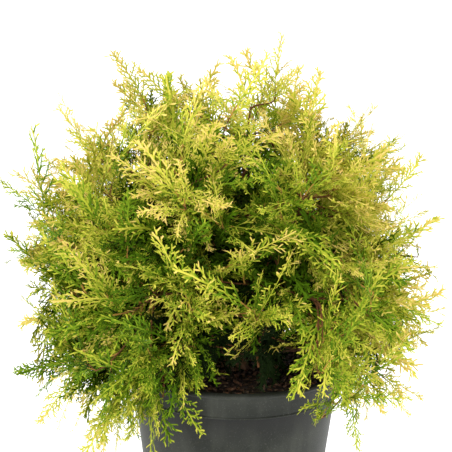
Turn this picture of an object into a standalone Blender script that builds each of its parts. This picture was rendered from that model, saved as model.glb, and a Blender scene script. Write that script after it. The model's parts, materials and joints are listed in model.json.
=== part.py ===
"""Potted eastern arborvitae: a golden, globe-shaped shrub in a round three-litre nursery pot.

The origin is at the middle of the pot's flat underside, +Z is up and -Y is the front.
Lengths are in metres. The pot and the soil are turned, the trunk and boughs are tapering
tubes, and each mass of foliage is one solid: a rounded core, and three-sided twigs that
branch out of it by a seeded rule from one stem, with toothed sprays sunk into them.
"""

import math
import random

import bmesh
import bpy
from mathutils import Vector
from mathutils.bvhtree import BVHTree

CLEAR = 0.0003
TURN_SEGMENTS = 32

POT_HEIGHT = 0.160
RIM_RADIUS = 0.095
BASE_RADIUS = 0.070
BODY_TOP_RADIUS = 0.0876
BAND_HEIGHT = 0.023
BAND_FOOT_RADIUS = 0.0895
LIP_HEIGHT = 0.0032
LIP_PROUD = 0.0011
LIP_BEVEL = 0.0006
STEP_RISE = 0.0004
WALL = 0.002
FLOOR_THICKNESS = 0.003
EDGE_CHAMFER = 0.0012

SOIL_BELOW_RIM = 0.010
SOIL_MOUND = 0.0035
SOIL_FLAT_RADIUS = 0.022

TRUNK_SIDES = 15
TRUNK_HEIGHT = 0.056
TRUNK_RADIUS = 0.0085
TRUNK_TIP_RADIUS = 0.0066
FLARE_RADIUS = 0.0135
FLARE_HEIGHT = 0.010
FLARE_LOBES = 5
TRUNK_LEAN = Vector((-0.003, 0.002, 0.0))

BOUGH_SIDES = 6
BOUGH_SEGMENTS = 3
BOUGH_BASE_RADIUS = 0.0031
BOUGH_TIP_RADIUS = 0.0019

HEART = Vector((-0.004, 0.0, 0.215))
CELL_MARGIN = 0.0008
POT_MARGIN = 0.003
LIMB_MARGIN = 0.0015

STEM_RADIUS = 0.0017
STEM_JOINT = 0.004
STEM_SEGMENTS = 3
STEM_ARCH = 0.004
HANGING_ARCH = 0.016
HANGING_BEND = 0.85
HANGING_REACH = 0.98
HANGING_CLEAR = 0.002
TWIG_RADIUS = 0.0013
TWIG_TIP_RADIUS = 0.0008
TWIG_PROUD = 0.008
SPRAYS_PER_MASS = 9
TWIG_TRIES = 50
TWIGS_FROM = 0.36
TWIGS_TO = 0.96
TWIG_ANGLES = (24.0, 66.0)
TWIG_DEPTH = 0.004
TWIG_DRIFT = 0.40
SPRAY_LENGTH = 0.066
SPRAY_SPAN = 0.66
SPRAY_THICKNESS = 0.0020
SPRAY_ROOT_THICKNESS = 0.0010
SPRAY_ROOT_DEPTH = 0.0030
SPRAY_SPACING = 0.36
SPRAY_SIZES = (0.9, 1.12)
SPRAY_CUTS = (1.0, 0.86, 0.74, 0.64)
CORE_SEGMENTS = 7
CORE_RINGS = 4
CORE_MARGIN = 0.0015
CORE_LENGTH = 0.031
CORE_DRAWS = 30
CORE_SHRINK = 0.95
GOLDEN_TURN = math.radians(137.5)
GOLDEN_SHARE = 0.618
SEED = 7300
SEED_STEP = 17

# Tiers of boughs: height of the fork above the soil, rise of the bough in degrees as it
# leaves the trunk, distance of its tip from the heart as a share of the reach, and the
# half-width of its mass's core.
TIERS = {
    "top": (0.050, 88.0, 0.34, 0.060),
    "upper": (0.042, 48.0, 0.36, 0.070),
    "middle": (0.028, 18.0, 0.38, 0.070),
    "lower": (0.014, 10.0, 0.44, 0.036),
}

# Masses of foliage: tier, place, azimuth and elevation seen from the heart in degrees,
# reach of the tips from the heart, and the height that the hanging tips come down to.
MASSES = [
    ("top", "centre", 20, 85, 0.230, 0.30),
    ("upper", "front_left", -117, 50, 0.216, 0.25),
    ("upper", "left", 174, 50, 0.234, 0.25),
    ("upper", "back", 100, 50, 0.214, 0.25),
    ("upper", "right", 26, 49, 0.212, 0.25),
    ("upper", "front_right", -44, 49, 0.212, 0.25),
    ("middle", "front_left", -120, 12, 0.200, 0.17),
    ("middle", "left", 180, 13, 0.214, 0.17),
    ("middle", "back_left", 120, 12, 0.204, 0.17),
    ("middle", "back_right", 60, 12, 0.200, 0.17),
    ("middle", "right", 0, 12, 0.190, 0.17),
    ("middle", "front_right", -60, 12, 0.200, 0.17),
    ("lower", "front_left", -124, -25, 0.176, 0.088),
    ("lower", "left_front", -164, -25, 0.202, 0.058),
    ("lower", "left_back", 153, -25, 0.202, 0.078),
    ("lower", "back_left", 108, -25, 0.190, 0.098),
    ("lower", "back_right", 63, -25, 0.184, 0.105),
    ("lower", "right_back", 18, -25, 0.184, 0.098),
    ("lower", "right_front", -27, -25, 0.186, 0.098),
    ("lower", "front", -78, -24, 0.162, 0.122),
]


def clear_scene():
    for item in list(bpy.data.objects):
        bpy.data.objects.remove(item, do_unlink=True)


def material(name, colour, roughness):
    finish = bpy.data.materials.new(name)
    finish.use_nodes = True
    shader = finish.node_tree.nodes["Principled BSDF"]
    shader.inputs["Base Color"].default_value = (*colour, 1.0)
    shader.inputs["Roughness"].default_value = roughness
    shader.inputs["Metallic"].default_value = 0.0
    return finish


def add_object(name, mesh, finish, smooth_angle=None):
    mesh.name = name
    mesh.materials.clear()
    mesh.materials.append(finish)
    if smooth_angle is not None:
        mesh.shade_smooth()
        mesh.set_sharp_from_angle(angle=math.radians(smooth_angle))
    item = bpy.data.objects.new(name, mesh)
    bpy.context.scene.collection.objects.link(item)
    return item


def mesh_from(points, faces):
    mesh = bpy.data.meshes.new("shape")
    mesh.from_pydata([tuple(point) for point in points], [], faces)
    solid = bmesh.new()
    solid.from_mesh(mesh)
    bmesh.ops.recalc_face_normals(solid, faces=solid.faces)
    solid.to_mesh(mesh)
    solid.free()
    return mesh


def turned(profile, segments=TURN_SEGMENTS):
    """A closed solid of revolution. The profile runs from axis to axis as (radius, height)."""
    first, last = profile[0], profile[-1]
    points = [Vector((0.0, 0.0, first[1])), Vector((0.0, 0.0, last[1]))]
    rings = []
    for radius, height in profile[1:-1]:
        ring = []
        for step in range(segments):
            turn = math.tau * step / segments
            ring.append(len(points))
            points.append(Vector((radius * math.cos(turn), radius * math.sin(turn), height)))
        rings.append(ring)
    faces = []
    for step in range(segments):
        after = (step + 1) % segments
        faces.append((0, rings[0][step], rings[0][after]))
        faces.append((1, rings[-1][after], rings[-1][step]))
        for low, high in zip(rings, rings[1:]):
            faces.append((low[step], high[step], high[after], low[after]))
    return mesh_from(points, faces)


def frame_along(direction, hint=Vector((0.0, 0.0, 1.0))):
    """Two unit vectors across a direction."""
    across = direction.cross(hint)
    if across.length < 1e-4:
        across = direction.cross(Vector((0.0, 1.0, 0.0)))
    across.normalize()
    return across, across.cross(direction).normalized()


def tangents_of(points):
    found = []
    for index in range(len(points)):
        before = points[max(index - 1, 0)]
        after = points[min(index + 1, len(points) - 1)]
        found.append((after - before).normalized())
    return found


def tube(points, radii, sides, spin=0.0, lobes=None):
    """A closed tapering tube. lobes(ring, turn) scales the radius round each ring."""
    vertices = []
    tangents = tangents_of(points)
    across, _ = frame_along(tangents[0])
    for index, (point, radius, tangent) in enumerate(zip(points, radii, tangents)):
        across = (across - tangent * across.dot(tangent)).normalized()
        upward = across.cross(tangent).normalized()
        for side in range(sides):
            turn = spin + math.tau * side / sides
            reach = radius * (lobes(index, turn) if lobes else 1.0)
            vertices.append(point + (across * math.cos(turn) + upward * math.sin(turn)) * reach)
    faces = [tuple(range(sides)), tuple(range(len(vertices) - sides, len(vertices)))]
    for ring in range(len(points) - 1):
        for side in range(sides):
            after = (side + 1) % sides
            low, high = ring * sides, (ring + 1) * sides
            faces.append((low + side, low + after, high + after, high + side))
    return mesh_from(vertices, faces)


def curve(start, control, end, steps):
    """Points along a quadratic curve."""
    found = []
    for step in range(steps + 1):
        share = step / steps
        found.append(
            start * (1 - share) ** 2 + control * 2 * share * (1 - share) + end * share**2
        )
    return found


def direction_of(azimuth, elevation):
    turn, rise = math.radians(azimuth), math.radians(elevation)
    return Vector(
        (math.cos(rise) * math.cos(turn), math.cos(rise) * math.sin(turn), math.sin(rise))
    )


def pot_profiles():
    """The pot's outer and inner outlines, from the axis outwards and up."""
    band_foot = POT_HEIGHT - BAND_HEIGHT
    lip_foot = POT_HEIGHT - LIP_HEIGHT
    outer = [
        (BASE_RADIUS - EDGE_CHAMFER, 0.0),
        (BASE_RADIUS, EDGE_CHAMFER),
        (BODY_TOP_RADIUS, band_foot),
        (BAND_FOOT_RADIUS, band_foot + STEP_RISE),
        (RIM_RADIUS - LIP_PROUD, lip_foot - LIP_BEVEL),
        (RIM_RADIUS, lip_foot + LIP_BEVEL),
        (RIM_RADIUS, POT_HEIGHT - EDGE_CHAMFER),
        (RIM_RADIUS - EDGE_CHAMFER, POT_HEIGHT),
    ]
    inner = [
        (BASE_RADIUS - WALL, FLOOR_THICKNESS),
        (BODY_TOP_RADIUS - WALL, band_foot + STEP_RISE),
        (BAND_FOOT_RADIUS - WALL, band_foot + WALL),
        (RIM_RADIUS - LIP_PROUD - WALL, POT_HEIGHT - LIP_BEVEL),
        (RIM_RADIUS - WALL, POT_HEIGHT),
    ]
    return outer, inner


def radius_at(outline, height):
    """Radius of an outline at a height, by straight runs between its points."""
    for (low_radius, low), (high_radius, high) in zip(outline, outline[1:]):
        if low <= height <= high and high > low:
            return low_radius + (high_radius - low_radius) * (height - low) / (high - low)
    return outline[-1][0] if height > outline[-1][1] else outline[0][0]


def build_pot(outline, inner, finish):
    profile = [(0.0, 0.0), *outline, *reversed(inner), (0.0, FLOOR_THICKNESS)]
    add_object("pot", turned(profile), finish, smooth_angle=32)


def soil_top(radius):
    """Height of the soil: a low mound with a flat middle."""
    edge = RIM_RADIUS - WALL
    share = max(0.0, (radius - SOIL_FLAT_RADIUS) / (edge - SOIL_FLAT_RADIUS))
    return POT_HEIGHT - SOIL_BELOW_RIM + SOIL_MOUND * (1 - share**2)


def build_soil(inner, finish):
    edge_height = POT_HEIGHT - SOIL_BELOW_RIM
    walls = [(radius - CLEAR, height) for radius, height in inner if height < edge_height]
    walls[0] = (walls[0][0], FLOOR_THICKNESS + CLEAR)
    edge = radius_at(inner, edge_height) - CLEAR
    mound = []
    for share in (1.0, 0.82, 0.6, 0.4):
        radius = SOIL_FLAT_RADIUS + (edge - SOIL_FLAT_RADIUS) * share
        mound.append((radius, soil_top(radius)))
    mound[0] = (edge, edge_height)
    mound.append((SOIL_FLAT_RADIUS, soil_top(0.0)))
    profile = [(0.0, FLOOR_THICKNESS + CLEAR), *walls, *mound, (0.0, soil_top(0.0))]
    add_object("soil", turned(profile), finish, smooth_angle=40)


def trunk_point(height):
    """The trunk's axis at a height above its foot: it leans a little to the back left."""
    foot = Vector((0.0, 0.0, soil_top(0.0) + CLEAR))
    share = max(0.0, height - FLARE_HEIGHT) / (TRUNK_HEIGHT - FLARE_HEIGHT)
    return foot + Vector((0.0, 0.0, height)) + TRUNK_LEAN * share**2


def trunk_mesh(grown=0.0):
    """The trunk from its flat cut to its rounded fork, larger all round by grown."""
    levels = [
        (0.0, FLARE_RADIUS),
        (0.35, FLARE_RADIUS * 0.82),
        (1.0, TRUNK_RADIUS * 1.06),
        (2.2, TRUNK_RADIUS),
    ]
    heights = [FLARE_HEIGHT * level for level, _ in levels]
    radii = [radius for _, radius in levels]
    dome = TRUNK_TIP_RADIUS
    for drop, share in ((1.0, 1.0), (0.35, 0.78), (0.0, 0.34)):
        heights.append(TRUNK_HEIGHT - dome * drop)
        radii.append(dome * share)
    points = [trunk_point(height) for height in heights]
    points[0] -= Vector((0.0, 0.0, grown))
    points[-1] += Vector((0.0, 0.0, grown))

    def lobes(ring, turn):
        strength = (0.16, 0.10, 0.03)[ring] if ring < 3 else 0.0
        return 1.0 + strength * math.cos(FLARE_LOBES * turn + 0.6)

    return tube(points, [radius + grown for radius in radii], TRUNK_SIDES, lobes=lobes)


def bough_curve(tier, azimuth, elevation, reach):
    """Points of a bough from the trunk's axis to its tip, where its mass begins."""
    height, rise, share, _ = TIERS[tier]
    start = trunk_point(height)
    tip = HEART + direction_of(azimuth, elevation) * reach * share
    span = (tip - start).length
    control = start + direction_of(azimuth, rise) * span * 0.5
    return curve(start, control, tip, BOUGH_SEGMENTS)


def boolean(item, operation, operand=None, collection=None, solver="EXACT"):
    """Apply one Boolean to an object and put the result in its mesh."""
    modifier = item.modifiers.new("join", "BOOLEAN")
    modifier.operation = operation
    modifier.solver = solver
    if collection:
        modifier.operand_type = "COLLECTION"
        modifier.collection = collection
    else:
        modifier.object = operand
    bpy.context.view_layer.update()
    evaluated = item.evaluated_get(bpy.context.evaluated_depsgraph_get())
    result = bpy.data.meshes.new_from_object(evaluated)
    item.modifiers.clear()
    item.data = result


def build_bough(name, points, finish, cutter):
    radii = []
    for step in range(len(points)):
        share = step / (len(points) - 1)
        radii.append(BOUGH_BASE_RADIUS + (BOUGH_TIP_RADIUS - BOUGH_BASE_RADIUS) * share)
    bough = add_object(name, tube(points, radii, BOUGH_SIDES), finish)
    boolean(bough, "DIFFERENCE", operand=cutter)
    bough.data.shade_smooth()
    bough.data.set_sharp_from_angle(angle=math.radians(50))


class Space:
    """The room that one mass keeps to: its share of the crown, clear of pot and limbs."""

    def __init__(self, index, directions, pot_outline, limbs):
        tier, _, _, _, reach, hang = MASSES[index]
        self.towards = directions[index]
        self.others = [other for rank, other in enumerate(directions) if rank != index]
        self.reach = reach
        self.hang = hang
        self.core_width = TIERS[tier][3]
        self.hangs = tier == "lower"
        self.pot_outline = pot_outline
        self.limbs = limbs

    def holds(self, point):
        offset = point - HEART
        if offset.length > self.reach or point.z < self.hang:
            return False
        own = offset.dot(self.towards)
        for other in self.others:
            if own - offset.dot(other) < CELL_MARGIN * 2:
                return False
        across = math.hypot(point.x, point.y)
        if point.z < POT_HEIGHT + POT_MARGIN:
            wall = radius_at(self.pot_outline, min(point.z, POT_HEIGHT)) + POT_MARGIN
            if across < wall:
                return False
        for limb, radius in self.limbs:
            if distance_to_path(point, limb) < radius + LIMB_MARGIN:
                return False
        return True

    def holds_all(self, points):
        return all(self.holds(point) for point in points)


def distance_to_path(point, path):
    nearest = 1.0
    for start, end in zip(path, path[1:]):
        along = end - start
        share = max(0.0, min(1.0, (point - start).dot(along) / along.length_squared))
        nearest = min(nearest, (point - start - along * share).length)
    return nearest


# One side of a spray's outline as shares of its length and of its span: stalk, then a tip
# and a notch for each finger. The last finger's tip closes it.
SPRAY_SIDE = [
    (0.10, 0.05),
    (0.40, 0.50),
    (0.46, 0.15),
    (0.70, 0.46),
    (0.60, 0.11),
    (0.90, 0.23),
    (0.80, 0.07),
]
SPRAY_PALM = 0.42


def spray_points(root, along, across, length):
    """Points down one side of a toothed spray, its tip, then up the other side."""
    span = length * SPRAY_SPAN
    right = [root + along * length * a + across * span * b for a, b in SPRAY_SIDE]
    left = [root + along * length * a - across * span * b for a, b in SPRAY_SIDE]
    return [*right, root + along * length, *reversed(left)]


def spray_mesh(root, along, outline, normal, length):
    """A thin toothed blade, thickest at its palm, on a stalk that is sunk at its root."""
    half = normal * SPRAY_THICKNESS * 0.5
    foot = root - along * SPRAY_ROOT_DEPTH
    foot_half = normal * SPRAY_ROOT_THICKNESS * 0.5
    palm = root + along * length * SPRAY_PALM
    count = len(outline)
    points = list(outline)
    faces = []
    for side in (1, -1):
        low, high = len(points), len(points) + 1
        points.extend([foot + foot_half * side, palm + half * side])
        faces.extend((index, index + 1, high) for index in range(count - 1))
        faces.extend([(low, 0, high), (low, count - 1, high)])
    feet = (count, count + 2)
    faces.extend([(0, *feet), (count - 1, *feet)])
    return mesh_from(points, faces)


def grow_spray(space, place, length, centres):
    """One spray at a place, as long as the space allows, or none."""
    root, along, facing = place
    across = along.cross(facing).normalized()
    for share in SPRAY_CUTS:
        outline = spray_points(root, along, across, length * share)
        centre = root + along * length * share * 0.6
        if any((centre - other).length < SPRAY_LENGTH * SPRAY_SPACING for other in centres):
            continue
        inner = [root.lerp(point, part) for point in outline for part in (0.35, 0.7)]
        if space.holds_all(outline) and space.holds_all(inner):
            centres.append(centre)
            return spray_mesh(root, along, outline, facing, length * share)
    return None


def turned_from(direction, angle, roll):
    """A direction that leaves another at an angle, rolled round it."""
    across, upward = frame_along(direction)
    side = across * math.cos(roll) + upward * math.sin(roll)
    return (direction * math.cos(angle) + side * math.sin(angle)).normalized()


def stem_points(bough, space):
    """The stem of a mass, from 0.3 mm off its bough's tip to one spray short of its reach."""
    heading = (bough[-1] - bough[-2]).normalized()
    start = bough[-1] + heading * CLEAR
    joint = start + heading * STEM_JOINT
    if space.hangs:
        outward = Vector((space.towards.x, space.towards.y, 0.0)).normalized()
        fall = HEART.z - space.hang
        out = math.sqrt(space.reach**2 - fall**2) * HANGING_REACH
        tip = Vector((HEART.x, HEART.y, space.hang + HANGING_CLEAR)) + outward * out
        droop = (outward * 0.35 + Vector((0.0, 0.0, -0.94))).normalized()
        end = tip - droop * SPRAY_LENGTH
        control = joint.lerp(end, HANGING_BEND)
        control.z = joint.z + HANGING_ARCH
    else:
        end = HEART + space.towards * (space.reach - SPRAY_LENGTH * 0.99)
        control = joint.lerp(end, 0.5) + Vector((0.0, 0.0, STEM_ARCH))
    return [start, *curve(joint, control, end, STEM_SEGMENTS)]


def core_mesh(space, stem):
    """A rounded core about the stem, drawn in until every face is in the space."""
    towards = (stem[2] - stem[1]).normalized()
    centre = stem[1] + towards * (CORE_LENGTH + STEM_JOINT)
    across, upward = frame_along(towards)
    offsets = []
    for ring in range(CORE_RINGS + 1):
        polar = math.pi * ring / CORE_RINGS
        for segment in range(CORE_SEGMENTS if 0 < ring < CORE_RINGS else 1):
            turn = math.tau * (segment + 0.5 * (ring % 2)) / CORE_SEGMENTS
            offset = towards * -math.cos(polar) * CORE_LENGTH
            side = across * math.cos(turn) + upward * math.sin(turn)
            offset += side * math.sin(polar) * space.core_width
            beyond = offset.normalized() * CORE_MARGIN
            while offset.length > 2 * CORE_MARGIN and not space.holds(centre + offset + beyond):
                offset = offset * CORE_SHRINK
            offsets.append(offset)
    last = len(offsets) - 1
    faces = []
    for segment in range(CORE_SEGMENTS):
        after = (segment + 1) % CORE_SEGMENTS
        faces.append((0, 1 + segment, 1 + after))
        faces.append((last, last - 1 - segment, last - 1 - after))
        for ring in range(CORE_RINGS - 2):
            low = 1 + ring * CORE_SEGMENTS
            high = low + CORE_SEGMENTS
            faces.append((low + segment, low + after, high + after))
            faces.append((low + segment, high + after, high + segment))
    for _ in range(CORE_DRAWS):
        tight = set()
        for face in faces:
            corners = [offsets[index] for index in face]
            middle = (corners[0] + corners[1] + corners[2]) / 3
            edges = [(corners[0] + corners[1]) / 2, (corners[1] + corners[2]) / 2]
            samples = [*corners, *edges, middle]
            samples = [centre + sample + sample.normalized() * CORE_MARGIN for sample in samples]
            if not space.holds_all(samples):
                tight.update(face)
        for index in tight:
            offsets[index] = offsets[index] * CORE_SHRINK
    points = [centre + offset for offset in offsets]
    return mesh_from(points, faces), BVHTree.FromPolygons(points, faces)


def grow_twigs(space, rng, stem, core, index):
    """Twigs set round the stem by a golden turn, each with a spray sunk in its tip."""
    twigs = []
    sprays = []
    centres = []
    tangents = tangents_of(stem)
    facing = turned_from(tangents[-1], math.radians(90), rng.uniform(0, math.tau))
    spray = grow_spray(space, (stem[-1], tangents[-1], facing), SPRAY_LENGTH, centres)
    if spray:
        sprays.append(spray)
    for step in range(TWIG_TRIES):
        share = TWIGS_FROM + (TWIGS_TO - TWIGS_FROM) * (step * GOLDEN_SHARE % 1.0)
        position = share * (len(stem) - 1)
        low = int(position)
        root = stem[low].lerp(stem[low + 1], position - low)
        heading = tangents[low].lerp(tangents[low + 1], position - low).normalized()
        angle = math.radians(rng.uniform(*TWIG_ANGLES))
        along = turned_from(heading, angle, GOLDEN_TURN * step + index)
        exit_point, _, _, depth = core.ray_cast(root, along)
        if exit_point is None:
            depth = TWIG_DEPTH
        tip = root + along * (depth + TWIG_PROUD)
        drift = (tip - HEART).normalized()
        if space.hangs:
            drift = (space.towards - Vector((0.0, 0.0, 0.8))).normalized()
        along = along.lerp(drift, TWIG_DRIFT).normalized()
        facing = turned_from(along, math.radians(90), rng.uniform(0, math.tau))
        if len(sprays) >= SPRAYS_PER_MASS or not space.holds(tip):
            continue
        size = SPRAY_LENGTH * rng.uniform(*SPRAY_SIZES)
        spray = grow_spray(space, (tip, along, facing), size, centres)
        if not spray:
            continue
        sprays.append(spray)
        radii = [TWIG_RADIUS, TWIG_TIP_RADIUS]
        twigs.append(tube([root, tip], radii, 3, spin=rng.uniform(0, math.tau)))
    return twigs, sprays


def build_mass(name, index, bough, space, finish):
    """Grow one mass of foliage and fuse it into one solid."""
    rng = random.Random(SEED + SEED_STEP * index)
    stem = stem_points(bough, space)
    radii = []
    for step in range(len(stem)):
        radii.append(STEM_RADIUS - (STEM_RADIUS - TWIG_TIP_RADIUS) * step / (len(stem) - 1))
    core, core_tree = core_mesh(space, stem)
    twigs, sprays = grow_twigs(space, rng, stem, core_tree, index)
    collection = bpy.data.collections.new("growth")
    bpy.context.scene.collection.children.link(collection)
    for number, mesh in enumerate([core, *twigs, *sprays]):
        piece = bpy.data.objects.new(f"growth_{number}", mesh)
        collection.objects.link(piece)
    mass = add_object(name, tube(stem, radii, 3), finish)
    fuse(mass, collection)
    for piece in list(collection.objects):
        bpy.data.objects.remove(piece, do_unlink=True)
    bpy.data.collections.remove(collection)
    mass.data.materials.clear()
    mass.data.materials.append(finish)


def fuse(item, collection):
    """Join a collection to an object, by MANIFOLD where EXACT leaves an open seam.

    Where both leave one, the last piece of the collection is left out.
    """
    start = item.data
    while True:
        for solver in ("EXACT", "MANIFOLD"):
            item.data = start.copy()
            boolean(item, "UNION", collection=collection, solver=solver)
            if keep_largest(item.data):
                return
        bpy.data.objects.remove(collection.objects[-1], do_unlink=True)


def keep_largest(mesh):
    """Keep the largest shell, so that no scrap or sealed hollow is left. True if it is closed."""
    solid = bmesh.new()
    solid.from_mesh(mesh)
    bmesh.ops.triangulate(solid, faces=solid.faces)
    waiting = set(solid.verts)
    shells = []
    while waiting:
        first = waiting.pop()
        shell = {first}
        frontier = [first]
        while frontier:
            for edge in frontier.pop().link_edges:
                for vertex in edge.verts:
                    if vertex not in shell:
                        shell.add(vertex)
                        frontier.append(vertex)
        waiting -= shell
        shells.append(shell)
    shells.sort(key=len)
    scraps = [vertex for shell in shells[:-1] for vertex in shell]
    bmesh.ops.delete(solid, geom=scraps, context="VERTS")
    closed = all(edge.is_manifold and edge.is_contiguous for edge in solid.edges)
    closed = closed and all(vertex.is_manifold for vertex in solid.verts)
    solid.to_mesh(mesh)
    solid.free()
    return closed


def main():
    clear_scene()
    plastic = material("pot_plastic", (0.045, 0.048, 0.045), 0.55)
    peat = material("peat", (0.020, 0.012, 0.008), 0.95)
    bark = material("bark", (0.170, 0.075, 0.035), 0.80)
    foliage = material("foliage", (0.330, 0.400, 0.060), 0.60)

    outer, inner = pot_profiles()
    build_pot(outer, inner, plastic)
    build_soil(inner, peat)
    add_object("trunk", trunk_mesh(), bark, smooth_angle=50)
    cutter = add_object("trunk_clearance", trunk_mesh(CLEAR), bark)

    directions = []
    boughs = []
    for tier, _, azimuth, elevation, reach, _ in MASSES:
        directions.append(direction_of(azimuth, elevation))
        boughs.append(bough_curve(tier, azimuth, elevation, reach))
    limbs = [(path, BOUGH_BASE_RADIUS) for path in boughs]
    limbs.append(([trunk_point(0.0), trunk_point(TRUNK_HEIGHT)], TRUNK_RADIUS))

    for index, (tier, place, *_) in enumerate(MASSES):
        build_bough(f"bough_{tier}_{place}", boughs[index], bark, cutter)
        space = Space(index, directions, outer, limbs)
        build_mass(f"foliage_{tier}_{place}", index, boughs[index], space, foliage)
    bpy.data.objects.remove(cutter, do_unlink=True)


main()
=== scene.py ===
"""Looks of a golden, globe-shaped eastern arborvitae in a round nursery pot.

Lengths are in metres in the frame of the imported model: the origin is at the middle of the
pot's flat underside, +Z is up and -Y is the front. Each mass of foliage grows on from its
bough: a stem, leading twigs that reach for points set round the mass's own direction by a
golden turn, and flat sprays of scale leaves set left and right along each twig.
"""

import json
import math

import bpy
import numpy as np
from mathutils import Matrix, Vector

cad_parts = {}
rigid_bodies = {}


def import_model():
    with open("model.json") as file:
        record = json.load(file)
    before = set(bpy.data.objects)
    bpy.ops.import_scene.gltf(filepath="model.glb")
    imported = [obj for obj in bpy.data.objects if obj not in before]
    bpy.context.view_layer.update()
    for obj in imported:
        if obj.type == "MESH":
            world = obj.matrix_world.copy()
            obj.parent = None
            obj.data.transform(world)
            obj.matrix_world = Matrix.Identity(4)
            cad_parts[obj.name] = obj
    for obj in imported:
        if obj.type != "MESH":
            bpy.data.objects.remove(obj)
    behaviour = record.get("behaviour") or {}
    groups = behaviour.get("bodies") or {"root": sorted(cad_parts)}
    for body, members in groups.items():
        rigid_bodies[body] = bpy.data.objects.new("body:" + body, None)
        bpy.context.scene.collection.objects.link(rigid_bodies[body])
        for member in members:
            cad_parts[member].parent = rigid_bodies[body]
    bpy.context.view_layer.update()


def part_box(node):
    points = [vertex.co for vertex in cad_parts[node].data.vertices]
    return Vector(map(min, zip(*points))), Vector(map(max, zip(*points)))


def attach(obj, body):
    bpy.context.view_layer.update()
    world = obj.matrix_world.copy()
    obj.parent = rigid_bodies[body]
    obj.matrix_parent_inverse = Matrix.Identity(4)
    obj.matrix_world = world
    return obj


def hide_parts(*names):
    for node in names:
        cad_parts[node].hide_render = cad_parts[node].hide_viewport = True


bl_info = {
    "name": "Potted Golden Arborvitae",
    "version": (1, 0, 0),
    "blender": (4, 5, 0),
    "location": "3D View > Sidebar > Arborvitae",
    "description": "Dresses the solids of a potted golden arborvitae",
    "category": "Object",
}

for item in list(bpy.data.objects):
    bpy.data.objects.remove(item, do_unlink=True)
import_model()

UP = np.array((0.0, 0.0, 1.0))

# The dark hollow at the front above the rim: its middle and half its breadth and height
# in degrees seen from the heart, the elevation below which it lacks twigs altogether, and
# the share of twigs in its middle that lie deep in it or are missing.
HOLLOW_MIDDLE = (-87.0, -11.0)
HOLLOW_HALF = (38.0, 33.0)
HOLLOW_FOOT = math.radians(-12)
HOLLOW_SHARE = 0.90
HOLLOW_EDGE = 4.0
# Painted shade: how far the tones of keeled and flat sprays drop in and round the hollow.
HOLLOW_SHADE = (0.16, 0.34)

POT_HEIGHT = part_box("pot")[1].z
RIM_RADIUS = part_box("pot")[1].x
BASE_RADIUS = 0.070
BODY_TOP_RADIUS = 0.0876
BAND_HEIGHT = 0.023
BAND_FOOT_RADIUS = 0.0895
LIP_HEIGHT = 0.0046
LIP_PROUD = 0.0018
LIP_ROUND = 0.0022
BEAD_PROUD = 0.0006
BEAD_HEIGHT = 0.0010
WALL = 0.002
FLOOR_THICKNESS = 0.003
EDGE_CHAMFER = 0.0012
# Painted shade below the rim band's step: how far down it fades out and how dark it gets.
SHADE_HEIGHT = 0.024
SHADE = 0.8

SOIL_BELOW_RIM = 0.010
SOIL_MOUND = 0.0035
SOIL_FLAT_RADIUS = 0.022

TRUNK_HEIGHT = 0.056
TRUNK_RADIUS = 0.0085
TRUNK_TIP_RADIUS = 0.0066
FLARE_RADIUS = 0.0135
FLARE_HEIGHT = 0.010
FLARE_LOBES = 5
TRUNK_LEAN = np.array((-0.003, 0.002, 0.0))

BOUGH_SEGMENTS = 3
BOUGH_BASE_RADIUS = 0.0031
BOUGH_TIP_RADIUS = 0.0019

HEART = np.array((-0.004, 0.0, 0.215))
POT_MARGIN = 0.003
LIMB_MARGIN = 0.0015
CLEAR = 0.0003
STEM_RADIUS = 0.0017
STEM_TIP_RADIUS = 0.0009
STEM_JOINT = 0.004
STEM_ARCH = 0.004
HANGING_ARCH = 0.016
HANGING_BEND = 0.85
HANGING_REACH = 0.98
HANGING_CLEAR = 0.002
STEM_SHORT = 0.066

STEM_PLACES = 24
GOLDEN_TURN = math.radians(137.5)
SEED = 7421

# Tiers of boughs: height of the fork above the soil, rise of the bough in degrees as it
# leaves the trunk, and distance of its tip from the heart as a share of the reach.
TIERS = {
    "top": (0.050, 88.0, 0.34),
    "upper": (0.042, 48.0, 0.36),
    "middle": (0.028, 18.0, 0.38),
    "lower": (0.014, 10.0, 0.44),
}

# Masses of foliage: tier, place, azimuth and elevation seen from the heart in degrees,
# reach of the tips from the heart, and the height that the hanging tips come down to.
MASSES = [
    ("top", "centre", 20, 85, 0.230, 0.30),
    ("upper", "front_left", -117, 50, 0.216, 0.25),
    ("upper", "left", 174, 50, 0.234, 0.25),
    ("upper", "back", 100, 50, 0.214, 0.25),
    ("upper", "right", 26, 49, 0.212, 0.25),
    ("upper", "front_right", -44, 49, 0.212, 0.25),
    ("middle", "front_left", -120, 12, 0.200, 0.17),
    ("middle", "left", 180, 13, 0.214, 0.17),
    ("middle", "back_left", 120, 12, 0.204, 0.17),
    ("middle", "back_right", 60, 12, 0.200, 0.17),
    ("middle", "right", 0, 12, 0.190, 0.17),
    ("middle", "front_right", -60, 12, 0.200, 0.17),
    ("lower", "front_left", -124, -25, 0.176, 0.088),
    ("lower", "left_front", -164, -25, 0.202, 0.058),
    ("lower", "left_back", 153, -25, 0.202, 0.078),
    ("lower", "back_left", 108, -25, 0.190, 0.098),
    ("lower", "back_right", 63, -25, 0.184, 0.105),
    ("lower", "right_back", 18, -25, 0.184, 0.098),
    ("lower", "right_front", -27, -25, 0.186, 0.098),
    ("lower", "front", -78, -24, 0.162, 0.122),
]

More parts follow.
